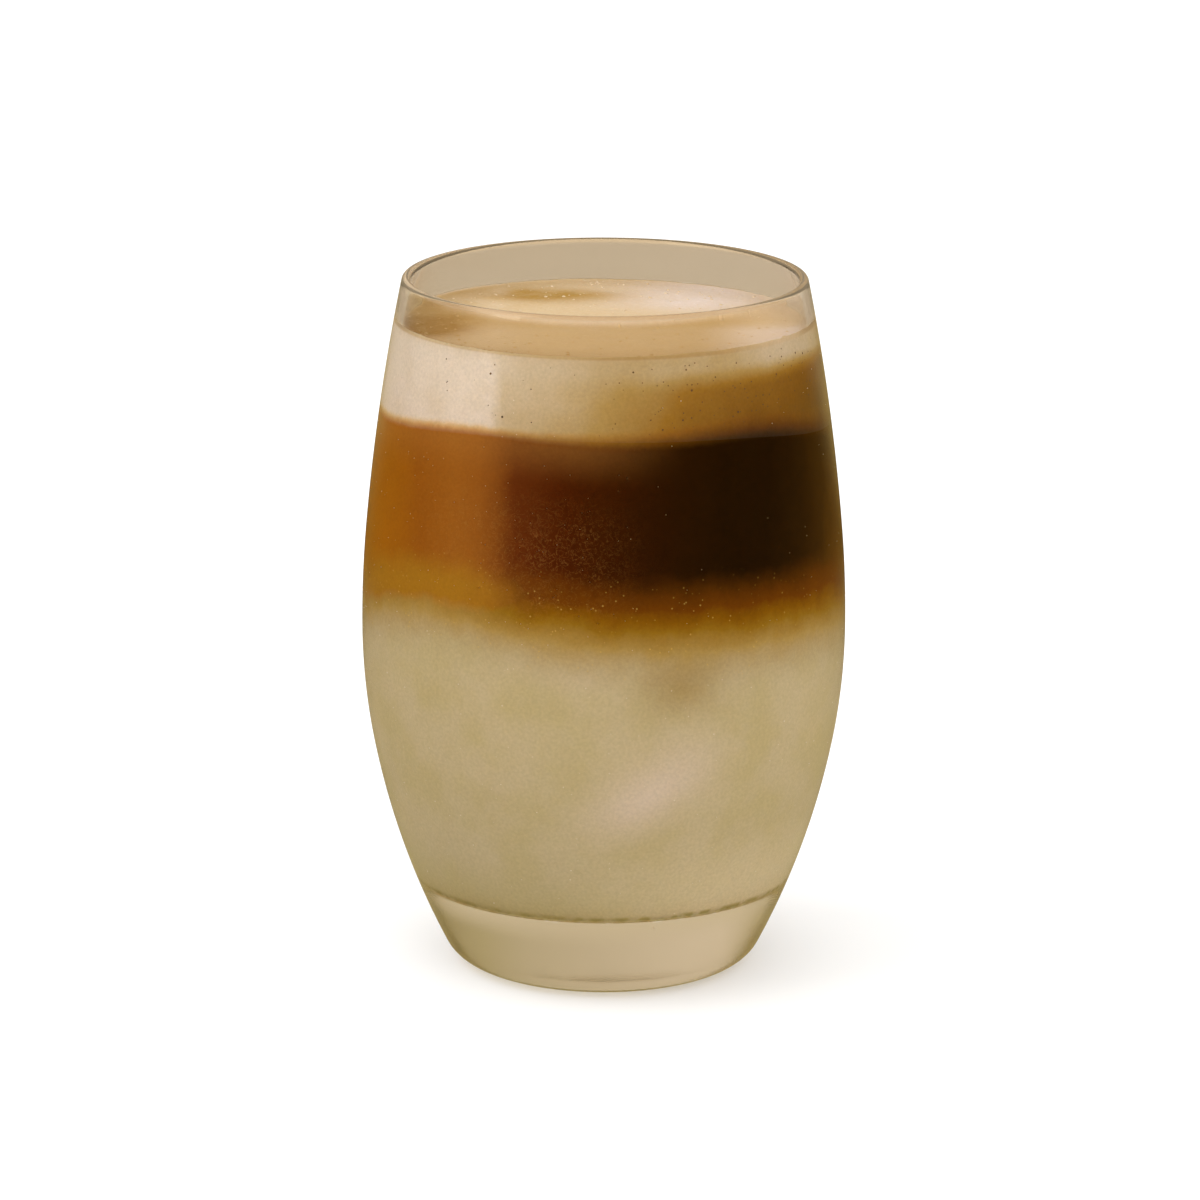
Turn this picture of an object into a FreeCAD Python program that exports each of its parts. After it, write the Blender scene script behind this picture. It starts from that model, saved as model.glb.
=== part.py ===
"""Iced coconut latte in its glass: a parametric FreeCAD 1.1 model, in millimetres.

A barrel-shaped tumbler with a thick clear base holds three layers: coconut milk at the bottom, coffee
above it and foam on top. The glass is one solid of revolution, drawn as a chain of tangent arcs. The
layers fill its cavity face to face, and uneven surfaces divide them.

+Z is up, and the origin is the centre of the underside.
"""
import FreeCAD, Part
import math
import os

import Sketcher
from FreeCAD import Vector

# Driving dimensions: alias, value in millimetres (or a plain count), what it is.
DIMENSIONS = [
    ("total_height", 118.0, "glass, from the underside to the top of the rim"),
    ("belly_radius", 40.8, "outside, where the barrel is widest"),
    ("belly_height", 58.5, "height of the widest place"),
    ("rim_narrowing", 6.9, "how much nearer the axis the rim's outside is than the belly's"),
    ("rim_wall", 1.6, "thickness of the wall, from the rim down to the belly"),
    ("shoulder_rise", 16.2, "height above the belly where its curve passes into the flatter upper wall"),
    ("upper_belly_bend", 187.5, "radius of the wall's curve from the belly to the shoulder"),
    ("lower_belly_bend", 106.0, "radius of the wall's curve from the belly to the waist"),
    ("waist_fall", 19.9, "height below the belly where its curve passes into the flatter lower wall"),
    ("foot_bend", 134.0, "radius of the wall's curve from the waist to the heel"),
    ("heel_radius", 6.4, "rounding between the lower wall and the flat underside"),
    ("base_thickness", 15.2, "clear glass under the drink"),
    ("cavity_bend", 92.0, "radius of the inner wall's curve below the belly"),
    ("cavity_corner", 2.6, "rounding between the inner wall and the inner floor"),
    ("free_height", 7.5, "from the top of the rim down to the foam, at the axis"),
    ("foam_depth", 12.3, "from the top of the foam down to the coffee, at the axis"),
    ("coffee_depth", 28.2, "from the top of the coffee down to the coconut milk, at the axis"),
    ("foam_tilt", 0.45, "how much the foam stands higher at the front wall than at the axis"),
    ("foam_swell", 0.25, "height of the foam's low swirls"),
    ("coffee_drop_left", 3.0, "how far the top of the coffee falls to the left wall"),
    ("coffee_drop_right", 5.4, "how far the top of the coffee falls to the right wall"),
    ("milk_drop_left", 5.0, "how far the top of the coconut milk falls to the left wall"),
    ("milk_drop_right", 7.6, "how far the top of the coconut milk falls to the right wall"),
    ("ripple", 0.35, "height of the ripples in the surfaces between the layers"),
    ("surface_margin", 20.0, "how far the solids that divide the layers go past the glass on every side"),
]
SURFACE_POINTS = 15

doc = FreeCAD.newDocument("iced_coconut_latte")
sheet = doc.addObject("Spreadsheet::Sheet", "dimensions")
for row, (alias, value, meaning) in enumerate(DIMENSIONS, start=1):
    sheet.set(f"A{row}", meaning)
    sheet.set(f"B{row}", str(value))
    sheet.setAlias(f"B{row}", alias)
doc.recompute()


def size(alias):
    """The value of a driving dimension, read from the sheet."""
    return float(sheet.get(alias))


def on_circle(centre, radius, angle):
    """The point of a circle at an angle, in the sketch plane."""
    return Vector(centre.x + radius * math.cos(angle), centre.y + radius * math.sin(angle), 0)


def arc(centre, radius, start, end):
    """An arc of a circle that runs anticlockwise between two angles, in the sketch plane."""
    return Part.ArcOfCircle(Part.Circle(centre, Vector(0, 0, 1), radius), start, end)


def wall_arcs():
    """The tangent arcs of the wall, by name, near enough to the sizes for the sketch to settle on them."""
    belly = Vector(size("belly_radius"), size("belly_height"), 0)
    wall = size("rim_wall")

    # Outside, upwards: the belly's arc, then the upper wall's arc, which ends on the rim's rounding.
    bend = size("upper_belly_bend")
    upper_centre = Vector(belly.x - bend, belly.y, 0)
    lean = math.asin(size("shoulder_rise") / bend)
    shoulder = on_circle(upper_centre, bend, lean)
    rim_centre = Vector(belly.x - size("rim_narrowing") - wall / 2, size("total_height") - wall / 2, 0)
    outward = Vector(math.cos(lean), math.sin(lean), 0)
    chord = rim_centre - shoulder
    along = chord.dot(outward)
    top_bend = (chord.dot(chord) - (wall / 2) ** 2) / (-2 * along - wall)
    top_centre = shoulder - outward * top_bend
    rim_angle = math.atan2(rim_centre.y - top_centre.y, rim_centre.x - top_centre.x)

    # Outside, downwards: the belly's arc, the lower wall's arc, and the heel, which ends on the underside.
    low_bend = size("lower_belly_bend")
    foot_bend = size("foot_bend")
    heel = size("heel_radius")
    low_centre = Vector(belly.x - low_bend, belly.y, 0)
    waist_angle = -math.asin(size("waist_fall") / low_bend)
    waist = on_circle(low_centre, low_bend, waist_angle)
    foot_centre = on_circle(waist, -foot_bend, waist_angle)
    heel_rise = foot_centre.y - heel
    heel_centre = Vector(foot_centre.x + math.sqrt((foot_bend - heel) ** 2 - heel_rise**2), heel, 0)
    heel_angle = -math.atan2(heel_rise, heel_centre.x - foot_centre.x)

    # Inside: the same arcs one wall nearer the axis, then the cavity's own arc and its rounded corner.
    cavity_bend = size("cavity_bend")
    corner = size("cavity_corner")
    cavity_centre = Vector(belly.x - wall - cavity_bend, belly.y, 0)
    corner_drop = cavity_centre.y - size("base_thickness") - corner
    corner_centre = Vector(
        cavity_centre.x + math.sqrt((cavity_bend - corner) ** 2 - corner_drop**2),
        size("base_thickness") + corner,
        0,
    )
    corner_angle = -math.atan2(corner_drop, corner_centre.x - cavity_centre.x)

    down = -math.pi / 2
    return {
        "heel": arc(heel_centre, heel, down, heel_angle),
        "foot": arc(foot_centre, foot_bend, heel_angle, waist_angle),
        "low belly": arc(low_centre, low_bend, waist_angle, 0),
        "high belly": arc(upper_centre, bend, 0, lean),
        "upper wall": arc(top_centre, top_bend, lean, rim_angle),
        "rim": arc(rim_centre, wall / 2, rim_angle, rim_angle + math.pi),
        "inner upper wall": arc(top_centre, top_bend - wall, lean, rim_angle),
        "inner belly": arc(upper_centre, bend - wall, 0, lean),
        "cavity": arc(cavity_centre, cavity_bend, corner_angle, 0),
        "corner": arc(corner_centre, corner, down, corner_angle),
    }


START, END, CENTRE = 1, 2, 3
ORIGIN = (-1, 1)
OUTSIDE = ("heel", "foot", "low belly", "high belly", "upper wall", "rim")


class ProfileSketch:
    """A sketch in a body's XZ plane that holds the wall's arcs, tied to the sheet."""

    def __init__(self, body, name):
        self.sketch = body.newObject("Sketcher::SketchObject", name)
        planes = {feature.Role: feature for feature in body.Origin.OriginFeatures}
        self.sketch.AttachmentSupport = [(planes["XZ_Plane"], "")]
        self.sketch.MapMode = "FlatFace"
        self.index = {}
        self.add_wall()

    def add(self, name, geometry, construction=False):
        """Adds a line or an arc under a name."""
        self.index[name] = self.sketch.addGeometry(geometry, construction)

    def tie(self, kind, *ends):
        """Adds a constraint between named pieces: each end is a name, or a name and a point of it."""
        values = []
        for end in ends:
            name, *point = end if isinstance(end, tuple) else (end,)
            values += [self.index[name] if isinstance(name, str) else name, *point]
        self.sketch.addConstraint(Sketcher.Constraint(kind, *values))

    def measure(self, kind, label, formula, name, *point):
        """Adds a size that follows a formula in the sheet's dimensions."""
        piece = self.index[name]
        start = self.sketch.Geometry[piece]
        if kind == "Radius":
            number = self.sketch.addConstraint(Sketcher.Constraint(kind, piece, start.Radius))
        else:
            spot = self.sketch.getPoint(piece, *point)
            distance = spot.x if kind == "DistanceX" else spot.y
            number = self.sketch.addConstraint(Sketcher.Constraint(kind, *ORIGIN, piece, *point, distance))
        self.sketch.renameConstraint(number, label)
        self.sketch.setExpression(f"Constraints.{label}", formula)

    def add_wall(self):
        """Draws the wall's arcs and ties them to each other and to the sheet."""
        for name, geometry in wall_arcs().items():
            self.add(name, geometry)
        for lower, upper in zip(OUTSIDE[:-2], OUTSIDE[1:-1]):
            self.tie("Tangent", (lower, END), (upper, START))
        self.tie("Tangent", ("upper wall", END), ("rim", START))
        self.tie("Tangent", ("rim", END), ("inner upper wall", END))
        self.tie("Tangent", ("inner upper wall", START), ("inner belly", END))
        self.tie("Tangent", ("inner belly", START), ("cavity", END))
        self.tie("Tangent", ("cavity", START), ("corner", END))
        self.tie("Coincident", ("upper wall", CENTRE), ("inner upper wall", CENTRE))
        self.tie("Coincident", ("high belly", CENTRE), ("inner belly", CENTRE))
        self.tie("Horizontal", ("high belly", CENTRE), ("high belly", START))
        self.tie("Horizontal", ("inner belly", CENTRE), ("inner belly", START))
        self.tie("Vertical", ("heel", CENTRE), ("heel", START))
        self.tie("Vertical", ("corner", CENTRE), ("corner", START))
        self.measure("DistanceX", "belly_out", "dimensions.belly_radius", "high belly", START)
        self.measure("DistanceY", "belly_up", "dimensions.belly_height", "high belly", START)
        self.measure("Radius", "high_belly_bend", "dimensions.upper_belly_bend", "high belly")
        shoulder_up = "dimensions.belly_height + dimensions.shoulder_rise"
        self.measure("DistanceY", "shoulder_up", shoulder_up, "high belly", END)
        rim_out = "dimensions.belly_radius - dimensions.rim_narrowing - dimensions.rim_wall / 2"
        rim_up = "dimensions.total_height - dimensions.rim_wall / 2"
        self.measure("Radius", "rim_round", "dimensions.rim_wall / 2", "rim")
        self.measure("DistanceX", "rim_out", rim_out, "rim", CENTRE)
        self.measure("DistanceY", "rim_up", rim_up, "rim", CENTRE)
        self.measure("Radius", "low_belly_bend", "dimensions.lower_belly_bend", "low belly")
        waist_up = "dimensions.belly_height - dimensions.waist_fall"
        self.measure("DistanceY", "waist_up", waist_up, "low belly", START)
        self.measure("Radius", "foot_bend", "dimensions.foot_bend", "foot")
        self.measure("Radius", "heel_round", "dimensions.heel_radius", "heel")
        self.measure("Radius", "cavity_bend", "dimensions.cavity_bend", "cavity")
        self.measure("Radius", "corner_round", "dimensions.cavity_corner", "corner")
        self.measure("DistanceY", "floor_up", "dimensions.base_thickness", "corner", START)
        self.tie("PointOnObject", ("heel", START), (-1,))

    def spot(self, name, point):
        """A named piece's point, as it is drawn."""
        return self.sketch.getPoint(self.index[name], point)


def revolve(body, sketch, name):
    """Turns a closed profile once round the vertical axis, and makes that the body's shape."""
    revolution = body.newObject("PartDesign::Revolution", name)
    revolution.Profile = sketch
    revolution.ReferenceAxis = (sketch, ["V_Axis"])
    revolution.Angle = 360.0
    sketch.Visibility = False
    body.Tip = revolution


def make_glass():
    """The tumbler: outer wall, rounded rim, inner wall and thick base, as one solid of revolution."""
    body = doc.addObject("PartDesign::Body", "glass")
    profile = ProfileSketch(body, "glass_profile")
    heel = profile.spot("heel", START)
    corner = profile.spot("corner", START)
    middle = Vector(0, 0, 0)
    floor_middle = Vector(0, corner.y, 0)
    profile.add("underside", Part.LineSegment(middle, heel))
    profile.add("inner floor", Part.LineSegment(corner, floor_middle))
    profile.add("axis", Part.LineSegment(floor_middle, middle))
    profile.tie("Coincident", ("underside", START), ORIGIN)
    profile.tie("Coincident", ("underside", END), ("heel", START))
    profile.tie("Coincident", ("inner floor", START), ("corner", START))
    profile.tie("Horizontal", "inner floor")
    profile.tie("Coincident", ("axis", START), ("inner floor", END))
    profile.tie("Coincident", ("axis", END), ORIGIN)
    profile.tie("Vertical", "axis")
    revolve(body, profile.sketch, "glass_turned")
    return body


def make_cavity():
    """The room inside the glass, up to the middle of the rim's rounding."""
    body = doc.addObject("PartDesign::Body", "cavity")
    profile = ProfileSketch(body, "cavity_profile")
    for name in OUTSIDE:
        profile.sketch.toggleConstruction(profile.index[name])
    corner = profile.spot("corner", START)
    mouth = profile.spot("inner upper wall", END)
    floor_middle = Vector(0, corner.y, 0)
    mouth_middle = Vector(0, mouth.y, 0)
    profile.add("inner floor", Part.LineSegment(corner, floor_middle))
    profile.add("axis", Part.LineSegment(floor_middle, mouth_middle))
    profile.add("mouth", Part.LineSegment(mouth_middle, mouth))
    profile.tie("Coincident", ("inner floor", START), ("corner", START))
    profile.tie("Horizontal", "inner floor")
    profile.tie("Coincident", ("axis", START), ("inner floor", END))
    profile.tie("PointOnObject", ("axis", START), (-2,))
    profile.tie("Vertical", "axis")
    profile.tie("Coincident", ("mouth", START), ("axis", END))
    profile.tie("Coincident", ("mouth", END), ("inner upper wall", END))
    profile.tie("Horizontal", "mouth")
    revolve(body, profile.sketch, "cavity_turned")
    return body


def foam_top(across, away):
    """Height of the foam: low swirls round the middle, and a little higher at the front wall."""
    reach = size("belly_radius")
    turn = math.atan2(away, across)
    out = math.hypot(across, away) / reach
    swirl = size("foam_swell") * math.sin(2 * turn - 4 * out) * out * math.exp(-out * out / 2)
    level = size("total_height") - size("free_height")
    return level - size("foam_tilt") * away / reach + swirl


def divided_level(level, drop_left, drop_right, across, away):
    """Height of a surface between two layers, which falls by its own amount to each side."""
    reach = size("belly_radius")
    share = across / reach
    drop = (drop_left + drop_right) / 2 * share**2 + (drop_right - drop_left) / 2 * share**3
    ripple = size("ripple") * math.sin(5 * share + 1.0) * math.cos(4 * away / reach)
    return level - drop + ripple


def coffee_top(across, away):
    """Height of the surface between the coffee and the foam."""
    level = size("total_height") - size("free_height") - size("foam_depth")
    return divided_level(level, size("coffee_drop_left"), size("coffee_drop_right"), across, away)


def milk_top(across, away):
    """Height of the surface between the coconut milk and the coffee."""
    level = size("total_height") - size("free_height") - size("foam_depth") - size("coffee_depth")
    return divided_level(level, size("milk_drop_left"), size("milk_drop_right"), across, away)


def make_filling(name, height_at):
    """A block that fills everything below an uneven surface, wider and deeper than the cavity."""
    reach = size("belly_radius") + size("surface_margin")
    depth = size("total_height") + size("surface_margin")
    places = [reach * (2 * i / (SURFACE_POINTS - 1) - 1) for i in range(SURFACE_POINTS)]
    grid = [[Vector(x, y, height_at(x, y)) for y in places] for x in places]
    surface = Part.BSplineSurface()
    surface.interpolate(grid)
    filling = doc.addObject("Part::Feature", name)
    filling.Shape = surface.toShape().extrude(Vector(0, 0, -depth))
    return filling


def combine(kind, name, base, tool):
    """A boolean of two objects of the document."""
    result = doc.addObject(kind, name)
    result.Base = base
    result.Tool = tool
    return result


glass = make_glass()
cavity = make_cavity()
to_foam_top = make_filling("filled_to_foam_top", foam_top)
to_coffee_top = make_filling("filled_to_coffee_top", coffee_top)
to_milk_top = make_filling("filled_to_milk_top", milk_top)
foam_block = combine("Part::Cut", "foam_block", to_foam_top, to_coffee_top)
coffee_block = combine("Part::Cut", "coffee_block", to_coffee_top, to_milk_top)
foam = combine("Part::Common", "foam", cavity, foam_block)
coffee = combine("Part::Common", "coffee", cavity, coffee_block)
coconut_milk = combine("Part::Common", "coconut_milk", cavity, to_milk_top)
doc.recompute()

SUB_PARTS = (glass, coconut_milk, coffee, foam)
for sub_part in SUB_PARTS:
    sub_part.Label = sub_part.Name

for item in doc.Objects:
    if {"Invalid", "Error"} & set(item.State):
        raise RuntimeError(f"{item.Label} failed: {item.State}")
for sub_part in SUB_PARTS:
    shape = sub_part.Shape
    if shape.isNull() or not shape.isValid() or len(shape.Solids) != 1:
        raise RuntimeError(f"{sub_part.Label} is not one valid solid")

os.makedirs("parts", exist_ok=True)
for sub_part in SUB_PARTS:
    sub_part.Shape.exportStep(f"parts/{sub_part.Label}.step")
    box = sub_part.Shape.BoundBox
    print(
        f"{sub_part.Label}: {sub_part.Shape.Volume / 1000:.2f} ml, "
        f"z {box.ZMin:.2f} to {box.ZMax:.2f}, {box.XLength:.2f} wide"
    )
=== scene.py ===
"""The looks of the iced coconut latte: glass, layered drink, ice, bubbles and condensation.

Everything is in metres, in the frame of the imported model: +Z up, the front of the glass at -Y.
"""

import math
import random

import bmesh
import bpy
from mathutils import Euler, Matrix, Vector, noise


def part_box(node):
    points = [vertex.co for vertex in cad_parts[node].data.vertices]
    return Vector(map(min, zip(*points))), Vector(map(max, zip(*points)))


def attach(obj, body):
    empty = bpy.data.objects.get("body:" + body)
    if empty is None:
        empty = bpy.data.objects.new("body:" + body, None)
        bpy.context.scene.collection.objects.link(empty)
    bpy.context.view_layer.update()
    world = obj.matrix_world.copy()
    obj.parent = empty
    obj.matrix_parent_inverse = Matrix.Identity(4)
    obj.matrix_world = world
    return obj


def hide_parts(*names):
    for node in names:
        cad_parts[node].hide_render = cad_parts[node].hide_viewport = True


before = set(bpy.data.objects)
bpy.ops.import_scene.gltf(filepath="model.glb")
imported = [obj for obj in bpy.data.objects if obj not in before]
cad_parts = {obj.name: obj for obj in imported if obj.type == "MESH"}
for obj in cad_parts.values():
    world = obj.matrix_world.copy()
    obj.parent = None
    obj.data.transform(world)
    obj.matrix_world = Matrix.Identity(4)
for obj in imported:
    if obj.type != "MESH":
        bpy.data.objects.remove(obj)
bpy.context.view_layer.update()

MM = 0.001
TAU = 2 * math.pi

# -------- sizes of the glass and its filling
GLASS_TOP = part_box("glass")[1].z
BELLY_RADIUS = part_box("glass")[1].x
BELLY_HEIGHT = 58.5 * MM
RIM_NARROWING = 6.9 * MM
WALL = 1.6 * MM
SHOULDER_RISE = 16.2 * MM
UPPER_BELLY_BEND = 187.5 * MM
LOWER_BELLY_BEND = 106.0 * MM
WAIST_FALL = 19.9 * MM
FOOT_BEND = 134.0 * MM
HEEL_RADIUS = 6.4 * MM
BASE_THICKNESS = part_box("coconut_milk")[0].z
CAVITY_BEND = 92.0 * MM
CAVITY_CORNER = 2.6 * MM

FREE_HEIGHT = 7.5 * MM
FOAM_DEPTH = 12.3 * MM
COFFEE_DEPTH = 28.2 * MM
FOAM_LEVEL = GLASS_TOP - FREE_HEIGHT
COFFEE_LEVEL = FOAM_LEVEL - FOAM_DEPTH
MILK_LEVEL = COFFEE_LEVEL - COFFEE_DEPTH
FOAM_TILT = 0.45 * MM
FOAM_SWELL = 0.25 * MM
COFFEE_DROPS = (3.0 * MM, 5.4 * MM)
MILK_DROPS = (5.0 * MM, 7.6 * MM)
RIPPLE = 0.35 * MM
INTO_WALL = 0.15 * MM

AROUND = 256
ANGLES = [TAU * i / AROUND for i in range(AROUND)]
SHARP = math.radians(50)


# -------- the wall's outline
DOWN = -math.pi / 2


def moved(point, distance, angle):
    """A point of the (radius, height) plane, moved by a distance along an angle."""
    return (point[0] + distance * math.cos(angle), point[1] + distance * math.sin(angle))


class Arc:
    """A circular arc in the (radius, height) plane of the glass."""

    def __init__(self, centre, bend, start, end):
        self.centre = centre
        self.bend = bend
        self.start = start
        self.end = end

    def at(self, angle):
        return moved(self.centre, self.bend, angle)

    def radius_at(self, height):
        rise = height - self.centre[1]
        return self.centre[0] + math.sqrt(max(self.bend**2 - rise**2, 0.0))

    def points(self, step):
        """Points from start to end, about step apart, without the last."""
        count = max(2, math.ceil(abs(self.end - self.start) * self.bend / step))
        return [self.at(self.start + (self.end - self.start) * i / count) for i in range(count)]


def foot_arcs():
    """The outside from the heel up to the belly."""
    waist_angle = -math.asin(WAIST_FALL / LOWER_BELLY_BEND)
    low_belly = Arc((BELLY_RADIUS - LOWER_BELLY_BEND, BELLY_HEIGHT), LOWER_BELLY_BEND, waist_angle, 0)
    foot_centre = moved(low_belly.at(waist_angle), -FOOT_BEND, waist_angle)
    heel_rise = foot_centre[1] - HEEL_RADIUS
    heel_out = foot_centre[0] + math.sqrt((FOOT_BEND - HEEL_RADIUS) ** 2 - heel_rise**2)
    heel_angle = -math.atan2(heel_rise, heel_out - foot_centre[0])
    return {
        "heel": Arc((heel_out, HEEL_RADIUS), HEEL_RADIUS, DOWN, heel_angle),
        "foot": Arc(foot_centre, FOOT_BEND, heel_angle, waist_angle),
        "low belly": low_belly,
    }


def rim_arcs():
    """Up the outside from the belly, over the rim, and down the inside to the belly again."""
    belly_centre = (BELLY_RADIUS - UPPER_BELLY_BEND, BELLY_HEIGHT)
    lean = math.asin(SHOULDER_RISE / UPPER_BELLY_BEND)
    high_belly = Arc(belly_centre, UPPER_BELLY_BEND, 0, lean)
    shoulder = high_belly.at(lean)
    rim_centre = (BELLY_RADIUS - RIM_NARROWING - WALL / 2, GLASS_TOP - WALL / 2)
    chord = (rim_centre[0] - shoulder[0], rim_centre[1] - shoulder[1])
    along = chord[0] * math.cos(lean) + chord[1] * math.sin(lean)
    top_bend = (chord[0] ** 2 + chord[1] ** 2 - (WALL / 2) ** 2) / (-2 * along - WALL)
    top_centre = moved(shoulder, -top_bend, lean)
    rim_angle = math.atan2(rim_centre[1] - top_centre[1], rim_centre[0] - top_centre[0])
    return {
        "high belly": high_belly,
        "upper wall": Arc(top_centre, top_bend, lean, rim_angle),
        "rim": Arc(rim_centre, WALL / 2, rim_angle, rim_angle + math.pi),
        "inner upper wall": Arc(top_centre, top_bend - WALL, rim_angle, lean),
        "inner belly": Arc(belly_centre, UPPER_BELLY_BEND - WALL, lean, 0),
    }


def cavity_arcs():
    """The inside from the belly down to the floor of the cavity."""
    centre = (BELLY_RADIUS - WALL - CAVITY_BEND, BELLY_HEIGHT)
    corner_height = BASE_THICKNESS + CAVITY_CORNER
    corner_drop = BELLY_HEIGHT - corner_height
    corner_out = centre[0] + math.sqrt((CAVITY_BEND - CAVITY_CORNER) ** 2 - corner_drop**2)
    corner_angle = -math.atan2(corner_drop, corner_out - centre[0])
    return {
        "cavity": Arc(centre, CAVITY_BEND, 0, corner_angle),
        "corner": Arc((corner_out, corner_height), CAVITY_CORNER, corner_angle, DOWN),
    }


# The tangent arcs of the wall in their order, from the heel up outside and down again inside.
ARCS = foot_arcs() | rim_arcs() | cavity_arcs()
SHOULDER = BELLY_HEIGHT + SHOULDER_RISE
WAIST = BELLY_HEIGHT - WAIST_FALL


def inner_radius(height):
    """Radius of the inside of the glass at a height."""
    if height > SHOULDER:
        return ARCS["inner upper wall"].radius_at(height)
    if height > BELLY_HEIGHT:
        return ARCS["inner belly"].radius_at(height)
    corner = ARCS["corner"]
    if height > corner.at(corner.start)[1]:
        return ARCS["cavity"].radius_at(height)
    return corner.radius_at(height)


def outer_radius(height):
    """Radius of the outside of the glass at a height."""
    if height > SHOULDER:
        return ARCS["upper wall"].radius_at(height)
    if height > BELLY_HEIGHT:
        return ARCS["high belly"].radius_at(height)
    if height > WAIST:
        return ARCS["low belly"].radius_at(height)
    return ARCS["foot"].radius_at(height)


# -------- the surfaces between the layers
def foam_top(x, y):
    """Height of the foam: a little higher at the front, with one low swirl."""
    turn = math.atan2(y, x)
    out = math.hypot(x, y) / BELLY_RADIUS
    swirl = FOAM_SWELL * math.sin(2 * turn - 4 * out) * out * math.exp(-out * out / 2)
    return FOAM_LEVEL - FOAM_TILT * y / BELLY_RADIUS + swirl


def divided_level(level, drops, x, y):
    """Height of a surface between two layers, which falls by its own amount to each side."""
    share = x / BELLY_RADIUS
    drop = (drops[0] + drops[1]) / 2 * share**2 + (drops[1] - drops[0]) / 2 * share**3
    return level - drop + RIPPLE * math.sin(5 * share + 1.0) * math.cos(4 * y / BELLY_RADIUS)


def coffee_top(x, y):
    return divided_level(COFFEE_LEVEL, COFFEE_DROPS, x, y)


def milk_top(x, y):
    return divided_level(MILK_LEVEL, MILK_DROPS, x, y)


# -------- meshes
def add_mesh(name, points, faces, smooth=True):
    mesh = bpy.data.meshes.new(name)
    mesh.from_pydata(points, [], faces)
    mesh.validate()
    if smooth:
        mesh.shade_smooth()
        mesh.set_sharp_from_angle(angle=SHARP)
    piece = bpy.data.objects.new(name, mesh)
    bpy.context.scene.collection.objects.link(piece)
    return piece


def ring_faces(first, second, count):
    """Quads between two rings of points, outward when the second ring lies above the first."""
    return [
        (first + i, first + (i + 1) % count, second + (i + 1) % count, second + i) for i in range(count)
    ]


def middle(ring):
    return sum((Vector(point) for point in ring), Vector()) / len(ring)


def closed_lathe(name, rings):
    """A closed solid from rings of AROUND points; the first and the last ring are capped."""
    points = [point for ring in rings for point in ring]
    faces = []
    for number in range(len(rings) - 1):
        faces += ring_faces(number * AROUND, (number + 1) * AROUND, AROUND)
    last = len(points) - AROUND
    bottom = len(points)
    top = bottom + 1
    points += [middle(rings[0]), middle(rings[-1])]
    faces += [(bottom, (i + 1) % AROUND, i) for i in range(AROUND)]
    faces += [(top, last + i, last + (i + 1) % AROUND) for i in range(AROUND)]
    return add_mesh(name, points, faces)


def circle(radius, height):
    return [(radius * math.cos(angle), radius * math.sin(angle), height) for angle in ANGLES]


DISC_SHARES = (0.15, 0.4, 0.65, 0.85, 0.95)
WALL_STEP = 1.0 * MM
FINE_STEPS = {"heel": 0.35 * MM, "rim": 0.1 * MM, "corner": 0.35 * MM}


def make_glass():
    """The tumbler as one closed, smoothly turned solid."""
    underside = ARCS["heel"].centre[0]
    floor = ARCS["corner"].centre[0]
    outline = [(underside * share, 0.0) for share in DISC_SHARES]
    for name, arc in ARCS.items():
        outline += arc.points(FINE_STEPS.get(name, WALL_STEP))
    outline += [(floor * share, BASE_THICKNESS) for share in (1.0, *reversed(DISC_SHARES))]
    return closed_lathe("tumbler", [circle(radius, height) for radius, height in outline])


SHEET_SHARES = [0.04, 0.1, 0.2, 0.3, 0.4, 0.5, 0.6, 0.7, 0.8, 0.9, 0.96]
MILK_FLOOR_SHARES = (0.1, 0.3, 0.5, 0.7, 0.9)
CORNER_STEP = 0.4 * MM
MILK_ROWS = 60
COFFEE_ROWS = 50
FOAM_ROWS = 30
FOAM_RINGS = 90
FOAM_MIDDLE = 0.02
EDGE_PASSES = 6


def wall_edge(surface, angle):
    """Height at which a surface between layers meets the wall, at an angle round the axis."""
    height = surface(0, 0)
    for _ in range(EDGE_PASSES):
        radius = inner_radius(height) + INTO_WALL
        height = surface(radius * math.cos(angle), radius * math.sin(angle))
    return height


def edge_of(surface):
    return [wall_edge(surface, angle) for angle in ANGLES]


def sheet_ring(surface, share, edge):
    """A ring of a surface between layers, at a share of the way from the axis to its edge on the wall."""
    ring = []
    for angle, height in zip(ANGLES, edge):
        radius = (inner_radius(height) + INTO_WALL) * share
        x = radius * math.cos(angle)
        y = radius * math.sin(angle)
        ring.append((x, y, surface(x, y)))
    return ring


def sheet(surface, edge, shares=SHEET_SHARES):
    """The rings of a surface between layers, from the axis outward."""
    return [sheet_ring(surface, share, edge) for share in shares]


def side_ring(low, high, share):
    """A ring on the wall, a share of the way up from one uneven edge to another."""
    ring = []
    for angle, bottom, top in zip(ANGLES, low, high):
        height = bottom + (top - bottom) * share
        radius = inner_radius(height) + INTO_WALL
        ring.append((radius * math.cos(angle), radius * math.sin(angle), height))
    return ring


def side(low, high, rows):
    """The rings on the wall from one uneven edge up to another."""
    return [side_ring(low, high, row / rows) for row in range(rows + 1)]


def make_milk():
    """The coconut milk: the inner floor, the rounded corner, and the wall up to the coffee."""
    corner = ARCS["corner"]
    cavity = ARCS["cavity"]
    top = edge_of(milk_top)
    low = [cavity.at(cavity.end)[1]] * AROUND
    widened = Arc(corner.centre, corner.bend + INTO_WALL, corner.end, corner.start)
    rings = [circle(corner.centre[0] * share, BASE_THICKNESS - INTO_WALL) for share in MILK_FLOOR_SHARES]
    rings += [circle(radius, height) for radius, height in widened.points(CORNER_STEP)]
    rings += side(low, top, MILK_ROWS)
    rings += reversed(sheet(milk_top, top))
    return closed_lathe("coconut_milk_fill", rings)


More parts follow.
